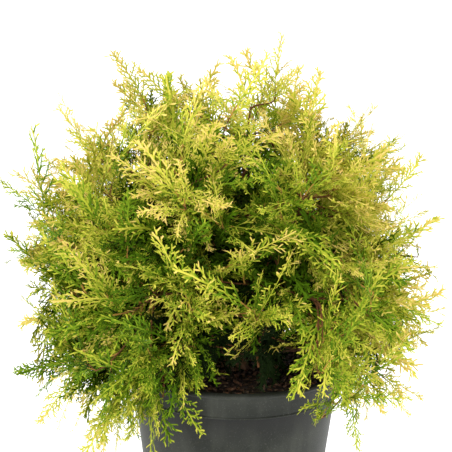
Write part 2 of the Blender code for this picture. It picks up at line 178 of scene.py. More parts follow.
# A spray in shares of its own length.
AXIS_STEPS = 11
AXIS_WIDTH = 0.024
AXIS_BEND = 0.10
BRANCHLET_WIDTH = 0.0215
BRANCHLET_STEP = 0.065
BRANCHLET_SPACING = (0.064, 0.080)
BRANCHLET_REACH = 0.30
BRANCHLET_ANGLES = (36.0, 54.0)
BRANCHLET_TILT = 0.18
BRANCHLET_MISSING = 0.08
FINGER_WIDTH = (0.0215, 0.026)
FINGER_REACH = 0.097
FINGER_SPACING = (0.040, 0.060)
FINGER_ANGLES = (28.0, 46.0)
FINGER_TILT = 0.28
AXIS_FINGER_SPACING = 0.060
AXIS_FINGER_TILT = 0.35
TOOTH = 0.20
RIDGE = 0.24
FINGER_SLANT = 0.80
WOODY_SHARE = 0.11
WOODY = -1.0
TEMPLATES = 20
FLAT_TEMPLATES = 8
LEAF_SHADES = 9
LEAF_STOPS = (0.0, 0.34, 0.59, 0.82)

# Layers of leading twigs from the tips inwards: their share, the least and most depth as
# shares of the reach, side sprays on each, size of the sprays, whether these have a keel,
# the least and most lean from the outward direction, tone, and how much paler tips are.
# The tones fall from the outer layers inwards: partly the greener older inner foliage, partly painted shade
# of the crown's dark interior.
LAYERS = [
    (0.30, 0.88, 0.98, 6, 1.10, True, (10.0, 54.0), 0.15, 0.58),
    (0.18, 0.75, 0.87, 6, 1.00, True, (34.0, 80.0), 0.01, 0.52),
    (0.37, 0.46, 0.72, 6, 1.10, False, (10.0, 80.0), -0.10, 0.30),
    (0.15, 0.24, 0.46, 6, 1.10, False, (30.0, 90.0), -0.16, 0.20),
]
# Painted light and shade dealt into the leaves' tones, for keeled and for flat sprays: higher sprays paler
# and lower ones a little darker; sprays on the right paler and more golden, partly a tint of the foliage and
# partly painted light; sprays low down at either side paler, as if lit; flat sprays that reach near the
# crown's surface, from OUTER_START of the reach on, paler as if less shaded.
HEIGHT_PAINTED_LIGHT = (0.92, 2.00)
SIDE_TINT_AND_PAINTED_LIGHT = (0.70, 0.80)
LOW_SIDE_PAINTED_LIGHT = 17.0
TONE_FADE = 0.5
MOST_TONE = 0.38
OUTER_PAINTED_LIGHT = 0.45
OUTER_START = 0.78
TOP_MORE = 0.65
CELL_BREADTH = math.radians(46)
CLEFT = 0.12
CLEFT_BREADTH = 0.10
CLEFT_HIGH = 0.5
LOW_RISE = -0.35
LOW_MISSING = 0.55

# Gaps in the crown's outline, seen from the front: least x and z, and most x and z.
NOTCHES = [
    ((-0.084, 0.420), (-0.018, 0.500)),
    ((-0.250, 0.196), (-0.178, 0.229)),
    ((0.156, 0.267), (0.250, 0.281)),
    ((0.060, 0.000), (0.250, 0.116)),
]

# The furthest tips in the photo's outline: azimuth, elevation and reach from the heart.
TIPS = [
    (0, 82, 0.225),
    (0, 70, 0.206),
    (0, 58, 0.201),
    (0, 47, 0.198),
    (0, 38, 0.204),
    (0, 25, 0.181),
    (0, 7, 0.187),
    (0, -2, 0.180),
    (0, -15, 0.177),
    (0, -38, 0.178),
    (180, 75, 0.222),
    (180, 64, 0.232),
    (180, 48, 0.217),
    (180, 28, 0.215),
    (180, 14, 0.202),
    (180, -9, 0.186),
    (180, -25, 0.193),
    (180, -32, 0.194),
    (180, -40, 0.187),
]
TIP_LAYER = (0.0, 1.0, 1.0, 5, 0.95, True, (0.0, 16.0), 0.22, 0.56)
TIP_SLACK = 0.008

# The camera, fitted to the ellipses of the rim in the photo.
PHOTO_SIDE = 452
FOCAL_PIXELS = 1300.0
SENSOR = 36.0
CAMERA_PLACE = (0.0, -1.08, 0.495)
CAMERA_PITCH = math.radians(11.4)
CAMERA_ROLL = math.radians(0.83)
POT_AXIS_OFFSET = 11.7


def unit(vectors):
    return vectors / np.maximum(np.linalg.norm(vectors, axis=-1, keepdims=True), 1e-12)


def direction_of(azimuth, elevation):
    turn, rise = math.radians(azimuth), math.radians(elevation)
    return np.array(
        (math.cos(rise) * math.cos(turn), math.cos(rise) * math.sin(turn), math.sin(rise))
    )


def across_of(direction):
    """Two unit vectors across a direction."""
    hint = UP if abs(direction[2]) < 0.95 else np.array((0.0, 1.0, 0.0))
    across = unit(np.cross(direction, hint))
    return across, np.cross(across, direction)


def turned_about(vector, axis, angle):
    """A vector turned about a unit axis."""
    along = axis * np.dot(axis, vector)
    return (
        along
        + (vector - along) * math.cos(angle)
        + np.cross(axis, vector) * math.sin(angle)
    )


def quadratic(start, control, end, steps):
    share = np.linspace(0.0, 1.0, steps + 1)[:, None]
    return start * (1 - share) ** 2 + control * 2 * share * (1 - share) + end * share**2


def cubic(start, first, second, end, steps):
    share = np.linspace(0.0, 1.0, steps + 1)[:, None]
    rest = 1 - share
    return (
        start * rest**3
        + first * 3 * share * rest**2
        + second * 3 * share**2 * rest
        + end * share**3
    )


def point_along(path, share):
    """Point and heading at a share of a path's points."""
    position = min(max(share, 0.0), 0.9999) * (len(path) - 1)
    low = int(position)
    step = path[low + 1] - path[low]
    return path[low] + step * (position - low), unit(step)


class Growth:
    """Triangles and their material slots, gathered into one mesh."""

    def __init__(self):
        self.points = []
        self.faces = []
        self.slots = []
        self.count = 0

    def add(self, points, faces, slots=0):
        self.points.append(points)
        self.faces.append(faces + self.count)
        self.slots.append(np.broadcast_to(slots, len(faces)))
        self.count += len(points)

    def arrays(self):
        return tuple(np.concatenate(kind) for kind in (self.points, self.faces, self.slots))

    def piece(self, name, materials, nodes, slot):
        """Make the mesh, and let it ride on the part in place of its solids."""
        points, faces, slots = self.arrays()
        points, faces = points.astype(np.float32), faces.astype(np.int32)
        mesh = bpy.data.meshes.new(name)
        mesh.vertices.add(len(points))
        mesh.vertices.foreach_set("co", points.ravel())
        mesh.loops.add(faces.size)
        mesh.loops.foreach_set("vertex_index", faces.ravel())
        mesh.polygons.add(len(faces))
        mesh.polygons.foreach_set("loop_start", np.arange(0, faces.size, 3, dtype=np.int32))
        mesh.polygons.foreach_set("material_index", slots.astype(np.int32))
        for finish in materials:
            mesh.materials.append(finish)
        mesh.update(calc_edges=True)
        mesh.validate()
        mesh.shade_smooth()
        item = bpy.data.objects.new(name, mesh)
        bpy.context.scene.collection.objects.link(item)
        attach(item, "root")
        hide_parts(*nodes)
        return item


def grid_faces(rings, sides, first=0):
    """Triangles between closed rings of points."""
    ring, side = np.meshgrid(np.arange(rings - 1), np.arange(sides), indexing="ij")
    ring, side = ring.ravel(), side.ravel()
    after = (side + 1) % sides
    low, high = first + ring * sides, first + (ring + 1) * sides
    one = np.stack((low + side, low + after, high + after), axis=1)
    two = np.stack((low + side, high + after, high + side), axis=1)
    return np.concatenate((one, two))


def tube(path, radii, sides, relief=None):
    """A closed tapering tube. relief(heights, turns) scales its radius."""
    tangents = unit(np.gradient(path, axis=0))
    across, _ = across_of(tangents[0])
    turns = np.arange(sides) * math.tau / sides
    rings = []
    for point, radius, tangent in zip(path, radii, tangents):
        across = unit(across - tangent * np.dot(across, tangent))
        upward = np.cross(across, tangent)
        circle = np.outer(np.cos(turns), across) + np.outer(np.sin(turns), upward)
        scale = relief(point[2], turns)[:, None] if relief else 1.0
        rings.append(point + circle * radius * scale)
    points = np.concatenate([*rings, path[:1], path[-1:]])
    faces = [grid_faces(len(path), sides)]
    side = np.arange(sides)
    after = (side + 1) % sides
    last = (len(path) - 1) * sides
    foot = np.full(sides, len(points) - 2)
    tip = np.full(sides, len(points) - 1)
    faces.append(np.stack((foot, after, side), axis=1))
    faces.append(np.stack((tip, last + side, last + after), axis=1))
    return points, np.concatenate(faces)


def turned_profile(profile, segments, wobble=None):
    """A solid of revolution about the pot's axis from a closed outline (radius, height)."""
    outline = np.array(profile)
    turns = np.arange(segments) * math.tau / segments
    rings = []
    for radius, height in outline:
        reach = radius + (wobble(turns, height) if wobble and radius > 0.01 else 0.0)
        ring = np.stack(
            (reach * np.cos(turns), reach * np.sin(turns), np.full(segments, height)), axis=1
        )
        rings.append(ring)
    points = np.concatenate([*rings, [(0.0, 0.0, outline[0][1])], [(0.0, 0.0, outline[-1][1])]])
    faces = [grid_faces(len(outline), segments)]
    side = np.arange(segments)
    after = (side + 1) % segments
    last = (len(outline) - 1) * segments
    foot = np.full(segments, len(points) - 2)
    tip = np.full(segments, len(points) - 1)
    faces.append(np.stack((foot, after, side), axis=1))
    faces.append(np.stack((tip, last + side, last + after), axis=1))
    return points, np.concatenate(faces)


def ripple(seed, waves, scale):
    """A smooth seeded field over points: a sum of sine waves in random directions."""
    rng = np.random.default_rng(seed)
    directions = unit(rng.normal(size=(waves, 3))) * scale * rng.uniform(0.5, 1.6, (waves, 1))
    phases = rng.uniform(0, math.tau, waves)

    def field(points):
        return np.sin(points @ directions.T + phases).mean(axis=1) * math.sqrt(waves)

    return field


class Value:
    """A socket of a shader, so that sums on it are written as Python."""

    def __init__(self, finish, socket):
        self.finish = finish
        self.socket = socket

    def sum(self, operation, first, second):
        return self.finish.node(
            "ShaderNodeMath", {"operation": operation}, {0: first, 1: second}
        )

    def __add__(self, other):
        return self.sum("ADD", self, other)

    __radd__ = __add__

    def __sub__(self, other):
        return self.sum("SUBTRACT", self, other)

    def __rsub__(self, other):
        return self.sum("SUBTRACT", other, self)

    def __mul__(self, other):
        return self.sum("MULTIPLY", self, other)

    __rmul__ = __mul__


class Finish:
    """A material whose nodes are added one by one round its Principled shader."""

    def __init__(self, name, **constants):
        self.material = bpy.data.materials.new(name)
        self.material.use_nodes = True
        self.tree = self.material.node_tree
        self.shader = self.tree.nodes["Principled BSDF"]
        for socket, value in constants.items():
            self.shader.inputs[socket.replace("_", " ")].default_value = value

    def node(self, kind, settings, sockets, output=0):
        made = self.tree.nodes.new(kind)
        for name, value in settings.items():
            setattr(made, name, value)
        for key, value in sockets.items():
            if isinstance(value, Value):
                self.tree.links.new(value.socket, made.inputs[key])
            else:
                made.inputs[key].default_value = value
        return Value(self, made.outputs[output])

    def place(self, scale=(1.0, 1.0, 1.0)):
        spot = self.node("ShaderNodeTexCoord", {}, {}, output="Object")
        return self.node("ShaderNodeMapping", {}, {"Vector": spot, "Scale": scale})

    def height(self):
        """The height above the ground, as the piece's own origin lies there."""
        return self.node("ShaderNodeSeparateXYZ", {}, {0: self.place()}, output=2)

    def noise(self, scale, detail=3.0, stretch=(1.0, 1.0, 1.0)):
        sockets = {"Vector": self.place(stretch), "Scale": scale, "Detail": detail}
        return self.node("ShaderNodeTexNoise", {}, sockets)

    def ramp(self, value, low, high):
        """0 below low, 1 above high."""
        sockets = {"Value": value, "From Min": low, "From Max": high}
        return self.node("ShaderNodeMapRange", {"clamp": True}, sockets)

    def blend(self, factor, first, second):
        sockets = {"Factor": factor, 6: opaque(first), 7: opaque(second)}
        return self.node("ShaderNodeMix", {"data_type": "RGBA"}, sockets, output=2)

    def bump(self, height, strength, distance):
        sockets = {"Height": height, "Strength": strength, "Distance": distance}
        return self.node("ShaderNodeBump", {}, sockets)

    def feed(self, **values):
        for name, value in values.items():
            self.tree.links.new(value.socket, self.shader.inputs[name.replace("_", " ")])
        return self.material


def opaque(colour):
    return colour if isinstance(colour, Value) else (*tuple(colour)[:3], 1.0)


class PotSettings(bpy.types.PropertyGroup):
    colour: bpy.props.FloatVectorProperty(
        name="Plastic", description="Colour of the pot's plastic", subtype="COLOR",
        size=3, min=0.0, max=1.0, default=(0.0060, 0.0080, 0.0046),
    )
    dust: bpy.props.FloatProperty(
        name="Dust", description="How much pale dust lies on the pot", subtype="FACTOR",
        min=0.0, max=1.0, default=0.31,
    )
    segments: bpy.props.IntProperty(
        name="Segments", description="Points round the rim", min=32, default=160,
    )


class SoilSettings(bpy.types.PropertyGroup):
    colour: bpy.props.FloatVectorProperty(
        name="Peat", description="Colour of the moist potting mix", subtype="COLOR",
        size=3, min=0.0, max=1.0, default=(0.014, 0.009, 0.006),
    )
    chips: bpy.props.IntProperty(
        name="Bark chips", description="Number of bark chips on the soil", min=0, default=700,
    )


class WoodSettings(bpy.types.PropertyGroup):
    bark: bpy.props.FloatVectorProperty(
        name="Bark", description="Colour of the bark", subtype="COLOR",
        size=3, min=0.0, max=1.0, default=(0.200, 0.085, 0.038),
    )
    twig: bpy.props.FloatVectorProperty(
        name="Twigs", description="Colour of the young red-brown twigs", subtype="COLOR",
        size=3, min=0.0, max=1.0, default=(0.300, 0.165, 0.035),
    )
    relief: bpy.props.FloatProperty(
        name="Relief", description="Depth of the bark's ridges as a share of the radius",
        subtype="FACTOR", min=0.0, max=0.5, default=0.10,
    )


class FoliageSettings(bpy.types.PropertyGroup):
    spray: bpy.props.FloatProperty(
        name="Spray", description="Length of one spray of scale leaves", unit="LENGTH",
        min=0.02, max=0.12, default=0.060,
    )
    leads: bpy.props.IntProperty(
        name="Leading twigs", description="Leading twigs round each mass's own direction",
        min=10, default=90,
    )
    deep: bpy.props.FloatVectorProperty(
        name="Shaded", description="Colour of the shaded inner leaves", subtype="COLOR",
        size=3, min=0.0, max=1.0, default=(0.004, 0.010, 0.001),
    )
    green: bpy.props.FloatVectorProperty(
        name="Green", description="Colour of the older green leaves", subtype="COLOR",
        size=3, min=0.0, max=1.0, default=(0.088, 0.183, 0.005),
    )
    bright: bpy.props.FloatVectorProperty(
        name="Bright", description="Colour of the young yellow-green leaves",
        subtype="COLOR", size=3, min=0.0, max=1.0, default=(0.465, 0.470, 0.040),
    )
    gold: bpy.props.FloatVectorProperty(
        name="Golden", description="Colour of the golden tips", subtype="COLOR",
        size=3, min=0.0, max=1.0, default=(0.745, 0.528, 0.165),
    )


class StageSettings(bpy.types.PropertyGroup):
    floor: bpy.props.FloatVectorProperty(
        name="Floor", description="Colour of the pale floor", subtype="COLOR",
        size=3, min=0.0, max=1.0, default=(0.97, 0.97, 0.965),
    )
    sky: bpy.props.FloatProperty(
        name="Surround", description="Strength of the white surround", min=0.0, default=1.70,
    )
    key: bpy.props.FloatProperty(
        name="Key lamp", description="Power of the large lamp above the front",
        unit="POWER", min=0.0, default=6.5,
    )


def outline_of_pot():
    """The pot's outline (radius, height) from its underside up the outside, and inside down."""
    band_foot = POT_HEIGHT - BAND_HEIGHT
    lip_foot = POT_HEIGHT - LIP_HEIGHT
    outer = [
        (BASE_RADIUS - EDGE_CHAMFER, 0.0),
        (BASE_RADIUS, EDGE_CHAMFER),
        (BODY_TOP_RADIUS, band_foot - 0.0004),
        (BAND_FOOT_RADIUS + BEAD_PROUD, band_foot),
        (BAND_FOOT_RADIUS + BEAD_PROUD, band_foot + BEAD_HEIGHT),
        (BAND_FOOT_RADIUS, band_foot + BEAD_HEIGHT * 1.7),
        (RIM_RADIUS - LIP_PROUD, lip_foot),
        (RIM_RADIUS, lip_foot + 0.0008),
        (RIM_RADIUS, POT_HEIGHT - LIP_ROUND),
        (RIM_RADIUS - LIP_ROUND, POT_HEIGHT),
    ]
    inner = [
        (RIM_RADIUS - WALL - LIP_ROUND, POT_HEIGHT - 0.0006),
        (BAND_FOOT_RADIUS - WALL, band_foot + WALL),
        (BODY_TOP_RADIUS - WALL, band_foot + 0.0002),
        (BASE_RADIUS - WALL, FLOOR_THICKNESS),
    ]
    return outer, inner


def softened(outline, radius, steps=4):
    """An outline with each inner corner rounded by a short curve."""
    points = np.array(outline)
    found = [points[0]]
    for before, corner, after in zip(points, points[1:], points[2:]):
        back, on = before - corner, after - corner
        cut = min(radius, np.linalg.norm(back) * 0.45, np.linalg.norm(on) * 0.45)
        start, end = corner + unit(back) * cut, corner + unit(on) * cut
        found.extend(quadratic(start, corner, end, steps))
    found.append(points[-1])
    return found


def pot_plastic(settings):
    """Dark grey moulded plastic, matt, with a little dust and fine scuffs, and a painted shade band below the
    rim band's step.
    """
    finish = Finish("pot_plastic_worn_painted_shade", Roughness=0.5, Specular_IOR_Level=0.26)
    cloud = finish.noise(26.0, 4.0)
    streak = finish.noise(14.0, 5.0, stretch=(7.0, 7.0, 0.7))
    speck = finish.ramp(finish.noise(900.0, 2.0), 0.60, 0.75)
    dust = finish.ramp(cloud, 0.42, 0.78) * 0.6 + finish.ramp(streak, 0.5, 0.8) * 0.5
    dust = dust * settings.dust
    colour = finish.blend(dust, settings.colour, (0.125, 0.130, 0.108))
    colour = finish.blend(speck * 0.12, colour, (0.30, 0.29, 0.27))
    # Painted shade: the colour darkens towards the step under the rim band, as if in the band's shadow.
    step = POT_HEIGHT - BAND_HEIGHT
    below = finish.ramp(finish.height(), step - SHADE_HEIGHT, step - 0.001)
    above = finish.ramp(finish.height(), step - 0.001, step)
    colour = finish.blend((below - above) * SHADE, colour, (0.004, 0.004, 0.004))
    grain = finish.noise(2200.0, 2.0)
    return finish.feed(
        Base_Color=colour,
        Roughness=0.46 + dust * 0.5 + grain * 0.08,
        Normal=finish.bump(grain + streak * 0.6, 0.25, 0.0003),
    )


def peat_finish(settings):
    """Near-black moist peat with lighter fibres."""
    finish = Finish("potting_mix_moist", Roughness=0.9)
    clump = finish.noise(160.0, 5.0)
    fibre = finish.ramp(finish.noise(420.0, 4.0, stretch=(1.0, 3.0, 1.0)), 0.58, 0.72)
    colour = finish.blend(finish.ramp(clump, 0.3, 0.8), settings.colour, (0.045, 0.026, 0.015))
    colour = finish.blend(fibre * 0.5, colour, (0.11, 0.060, 0.030))
    return finish.feed(
        Base_Color=colour,
        Roughness=0.75 + clump * 0.25,
        Normal=finish.bump(clump, 0.6, 0.002),
    )


def bark_finish(name, colour, dark):
    """Fibrous bark in long strips."""
    finish = Finish(name, Roughness=0.8)
    strip = finish.noise(120.0, 6.0, stretch=(1.0, 1.0, 0.16))
    crack = finish.ramp(finish.noise(260.0, 4.0, stretch=(1.0, 1.0, 0.10)), 0.52, 0.62)
    tint = finish.blend(finish.ramp(strip, 0.3, 0.7), dark, colour)
    tint = finish.blend(crack * 0.55, tint, (0.34, 0.21, 0.13))
    return finish.feed(
        Base_Color=tint,
        Roughness=0.70 + strip * 0.2,
        Normal=finish.bump(strip + crack * 0.5, 0.5, 0.0008),
    )


def plain_finish(name, colour, roughness=0.6, specular=0.04):
    finish = Finish(
        name, Base_Color=opaque(colour), Roughness=roughness, Specular_IOR_Level=specular
    )
    return finish.material


class ARBOR_OT_pot(bpy.types.Operator):
    """Turn the thin-walled nursery pot with its rim band, lip and base"""

    bl_idname = "arborvitae.pot"
    bl_label = "Pot"

    def execute(self, context):
        settings = context.scene.arbor_pot
        outer, inner = outline_of_pot()
        profile = [
            *softened(outer, 0.0013),
            *softened(inner, 0.0007),
        ]
        growth = Growth()

        def wobble(turns, height):
            return 0.00022 * np.sin(3 * turns + 40 * height) + 0.00012 * np.sin(7 * turns)

        growth.add(*turned_profile(profile, settings.segments, wobble))
        growth.piece("pot_shell", [pot_plastic(settings)], ["pot"], "pot_plastic")
        return {"FINISHED"}


def soil_height(radius):
    """Height of the soil: a low mound with a flat middle."""
    edge = RIM_RADIUS - WALL
    share = np.clip((radius - SOIL_FLAT_RADIUS) / (edge - SOIL_FLAT_RADIUS), 0.0, 1.0)
    return POT_HEIGHT - SOIL_BELOW_RIM + SOIL_MOUND * (1 - share**2)


def chip(rng, centre, length):
    """One flat, broken chip of bark."""
    across, upward = across_of(unit(rng.normal(size=3) * (1, 1, 0.35)))
    along = np.cross(upward, across)
    width, height = length * rng.uniform(0.3, 0.6), length * rng.uniform(0.10, 0.25)
    corners = []
    for a in (-1, 1):
        for b in (-1, 1):
            for c in (-1, 1):
                spot = along * a * length * 0.5 * rng.uniform(0.6, 1.0)
                spot = spot + across * b * width * 0.5 * rng.uniform(0.5, 1.0)
                corners.append(centre + spot + upward * c * height * 0.5)
    faces = [
        (0, 1, 3), (0, 3, 2), (4, 6, 7), (4, 7, 5), (0, 4, 5), (0, 5, 1),
        (2, 3, 7), (2, 7, 6), (0, 2, 6), (0, 6, 4), (1, 5, 7), (1, 7, 3),
    ]
    return np.array(corners), np.array(faces)


class ARBOR_OT_soil(bpy.types.Operator):
    """Fill the pot with crumbly potting mix and strew bark chips on it"""

    bl_idname = "arborvitae.soil"
    bl_label = "Soil"

    def execute(self, context):
        settings = context.scene.arbor_soil
        rng = np.random.default_rng(SEED + 1)
        crumbs = ripple(SEED + 2, 40, 900.0)
        lumps = ripple(SEED + 3, 14, 260.0)
        _, inner = outline_of_pot()
        wall = np.array(sorted(inner, key=lambda spot: spot[1]))
        edge = np.interp(POT_HEIGHT - SOIL_BELOW_RIM, wall[:, 1], wall[:, 0]) - CLEAR
        rings, sides = 60, 160
        radii = edge * np.linspace(0.02, 1.0, rings)
        turns = np.arange(sides) * math.tau / sides
        reach, turn = np.meshgrid(radii, turns, indexing="ij")
        flat = np.stack((reach * np.cos(turn), reach * np.sin(turn), reach * 0), axis=-1)
        flat = flat.reshape(-1, 3)
        rise = 0.0009 * crumbs(flat) + 0.0011 * lumps(flat)
        flat[:, 2] = soil_height(reach.ravel()) + rise
        floor = [
            (BODY_TOP_RADIUS - WALL - 2 * CLEAR, POT_HEIGHT - BAND_HEIGHT - 0.001),
            (BASE_RADIUS - WALL - CLEAR, FLOOR_THICKNESS + CLEAR),
        ]
        lower = []
        for radius, height in floor:
            ring = np.stack(
                (radius * np.cos(turns), radius * np.sin(turns), np.full(sides, height)), axis=1
            )
            lower.append(ring)
        points = np.concatenate([flat, *lower, [(0, 0, floor[-1][1])], [(0, 0, soil_height(0.0))]])
        count = rings + len(floor)
        side = np.arange(sides)
        after = (side + 1) % sides
        last = (count - 1) * sides
        base = np.full(sides, len(points) - 2)
        middle = np.full(sides, len(points) - 1)
        faces = np.concatenate((
            grid_faces(count, sides)[:, ::-1],
            np.stack((base, last + after, last + side), axis=1),
            np.stack((middle, side, after), axis=1),
        ))
        growth = Growth()
        growth.add(points, faces)
        growth.piece("potting_mix", [peat_finish(settings)], ["soil"], "peat")

        chips = Growth()
        for number in range(settings.chips):
            turn = GOLDEN_TURN * number
            radius = (edge - 0.004) * math.sqrt((number + 0.5) / settings.chips)
            spot = np.array((radius * math.cos(turn), radius * math.sin(turn), 0.0))
            spot[2] = soil_height(radius) + rng.uniform(0.0, 0.0022)
            corners, faces = chip(rng, spot, rng.uniform(0.003, 0.009))
            chips.add(corners, faces, rng.integers(0, 3))
        finishes = [
            bark_finish("chip_dark", (0.050, 0.026, 0.014), (0.015, 0.009, 0.006)),
            bark_finish("chip_brown", (0.120, 0.055, 0.026), (0.035, 0.018, 0.010)),
            bark_finish("chip_red", (0.200, 0.085, 0.038), (0.060, 0.026, 0.013)),
        ]
        chips.piece("mix_chips", finishes, ["soil"], "peat")
        return {"FINISHED"}


def trunk_point(height):
    """The trunk's axis at a height above its foot: it leans a little to the back left."""
    share = max(0.0, height - FLARE_HEIGHT) / (TRUNK_HEIGHT - FLARE_HEIGHT)
    return UP * (soil_height(0.0) + CLEAR + height) + TRUNK_LEAN * share**2


def trunk_radius(height):
    """Radius of the trunk at a height: a flared foot, a long taper and a rounded fork."""
    flare = (FLARE_RADIUS - TRUNK_RADIUS) * max(0.0, 1 - height / FLARE_HEIGHT) ** 2
    taper = TRUNK_RADIUS + (TRUNK_TIP_RADIUS - TRUNK_RADIUS) * height / TRUNK_HEIGHT
    dome = max(0.0, height - (TRUNK_HEIGHT - TRUNK_TIP_RADIUS)) / TRUNK_TIP_RADIUS
    return (taper + flare) * math.sqrt(max(0.02, 1 - dome**2))


def bough_curve(tier, azimuth, elevation, reach, steps):
    """Points of a bough from the trunk's axis to its tip, where its mass begins."""
    height, rise, share = TIERS[tier]
    start = trunk_point(height)
    tip = HEART + direction_of(azimuth, elevation) * reach * share
    span = np.linalg.norm(tip - start)
    control = start + direction_of(azimuth, rise) * span * 0.5
    return quadratic(start, control, tip, steps)


def stem_points(bough, towards, reach, hang, hangs):
    """The stem of a mass, from 0.3 mm off its bough's tip to one spray short of its reach."""
    heading = unit(bough[-1] - bough[-2])
    start = bough[-1] + heading * CLEAR
    joint = start + heading * STEM_JOINT
    if hangs:
        outward = unit(towards * (1, 1, 0))
        fall = HEART[2] - hang
        out = math.sqrt(reach**2 - fall**2) * HANGING_REACH
        tip = np.array((HEART[0], HEART[1], hang + HANGING_CLEAR)) + outward * out
        end = tip - unit(outward * 0.35 - UP * 0.94) * STEM_SHORT
        control = joint + (end - joint) * HANGING_BEND
        control[2] = joint[2] + HANGING_ARCH
    else:
        end = HEART + towards * (reach - STEM_SHORT)
        control = joint + (end - joint) * 0.5 + UP * STEM_ARCH
    return np.concatenate(([start], quadratic(joint, control, end, 8)))


class Crown:
    """The room that the foliage keeps to: its reach, its lower edge, the pot and the limbs."""

    def __init__(self):
        self.towards = np.array([direction_of(mass[2], mass[3]) for mass in MASSES])
        self.reaches = np.array([mass[4] for mass in MASSES])
        self.hangs = np.array([mass[5] for mass in MASSES])
        self.low = np.array([mass[0] == "lower" for mass in MASSES])
        self.flat = unit(self.towards * (1, 1, 0))
        outer, _ = outline_of_pot()
        self.pot = np.array(outer)
        self.boughs = []
        for tier, _, azimuth, elevation, reach, _ in MASSES:
            self.boughs.append(bough_curve(tier, azimuth, elevation, reach, BOUGH_SEGMENTS))
        self.limbs = [(path, BOUGH_BASE_RADIUS) for path in self.boughs]
        trunk = np.array([trunk_point(0.0), trunk_point(TRUNK_HEIGHT)])
        self.limbs.append((trunk, TRUNK_RADIUS))

    def reach(self, directions):
        """Reach of the crown along unit directions, smooth from mass to mass."""
        weights = np.exp(11.0 * directions @ self.towards.T)
        return (weights @ self.reaches) / weights.sum(axis=-1)

    def cleft(self, direction):
        """How far the surface draws in between two masses: 1 in the middle of a mass."""
        second, first = np.sort(self.towards @ direction)[-2:]
        depth = CLEFT * (1 - CLEFT_HIGH * max(0.0, direction[2]))
        return 1 - depth * max(0.0, 1 - (first - second) / CLEFT_BREADTH)

    def hang(self, directions):
        """Height of the crown's lower edge below unit directions."""
        flat = unit(directions * (1, 1, 0))
        weights = np.exp(16.0 * flat @ self.flat[self.low].T)
        return (weights @ self.hangs[self.low]) / weights.sum(axis=-1)

    def holds(self, points, slack=0.0):
        offsets = points - HEART
        distances = np.linalg.norm(offsets, axis=1)
        directions = unit(offsets)
        if np.any(distances > self.reach(directions) + slack):
            return False
        if np.any(points[:, 2] < self.hang(directions)):
            return False
        heights = np.clip(points[:, 2], 0.0, POT_HEIGHT)
        walls = np.interp(heights, self.pot[:, 1], self.pot[:, 0]) + POT_MARGIN
        across = np.hypot(points[:, 0], points[:, 1])
        if np.any((across < walls) & (points[:, 2] < POT_HEIGHT + POT_MARGIN)):
            return False
        return all(
            clear_of(points, path, radius + LIMB_MARGIN) for path, radius in self.limbs
        )


def notched(points):
    """True if a point lies in one of the gaps of the outline."""
    spots = points[:, (0, 2)]
    return any(
        ((spots > low) & (spots < high)).all(axis=1).any() for low, high in NOTCHES
    )


def hollow(direction):
    """1 in the middle of the hollow at the front, 0 at its edge and less outside."""
    azimuth = math.degrees(math.atan2(direction[1], direction[0]))
    elevation = math.degrees(math.asin(direction[2]))
    return 1 - math.hypot(
        (azimuth - HOLLOW_MIDDLE[0]) / HOLLOW_HALF[0],
        (elevation - HOLLOW_MIDDLE[1]) / HOLLOW_HALF[1],
    )


def clear_of(points, path, distance):
    """True if every point is at least a distance from a path."""
    for start, end in zip(path, path[1:]):
        along = end - start
        share = np.clip((points - start) @ along / (along @ along), 0.0, 1.0)
        nearest = np.linalg.norm(points - start - share[:, None] * along, axis=1)
        if np.any(nearest < distance):
            return False
    return True


class ARBOR_OT_limbs(bpy.types.Operator):
    """Grow the trunk and the boughs with the relief of their bark"""

    bl_idname = "arborvitae.limbs"
    bl_label = "Trunk and boughs"

    def execute(self, context):
        settings = context.scene.arbor_wood
        finish = bark_finish("bark_fibrous", settings.bark, (0.045, 0.020, 0.011))
        rough = ripple(SEED + 4, 30, 420.0)

        def relief(height, turns):
            flare = max(0.0, 1 - (height - soil_height(0.0)) / FLARE_HEIGHT)
            lobes = 0.16 * flare * np.cos(FLARE_LOBES * turns + 0.6)
            spot = np.stack((np.cos(turns), np.sin(turns), turns * 0 + height * 12), axis=1)
            ridges = np.abs(np.sin(turns * 9 + height * 60)) - 0.6
            return 1.0 + lobes + settings.relief * (0.6 * ridges + 0.4 * rough(spot * 0.01))

        heights = np.linspace(0.0, TRUNK_HEIGHT, 70)
        path = np.array([trunk_point(height) for height in heights])
        growth = Growth()
        growth.add(*tube(path, [trunk_radius(height) for height in heights], 54, relief))
        growth.piece("trunk_bark", [finish], ["trunk"], "bark")

        for mass in MASSES:
            tier, place, azimuth, elevation, reach, _ = mass
            path = bough_curve(tier, azimuth, elevation, reach, 26)
            radii = np.linspace(BOUGH_BASE_RADIUS, BOUGH_TIP_RADIUS, len(path))
            radii *= 1 + 0.10 * np.sin(np.arange(len(path)) * 1.7 + azimuth)

            def fibres(height, turns):
                ridges = np.abs(np.sin(turns * 4 + height * 80)) - 0.6
                return 1.0 + settings.relief * ridges

            growth = Growth()
            growth.add(*tube(path, radii, 20, fibres))
            growth.piece(f"bark_{tier}_{place}", [finish], [f"bough_{tier}_{place}"], "bark")
        return {"FINISHED"}


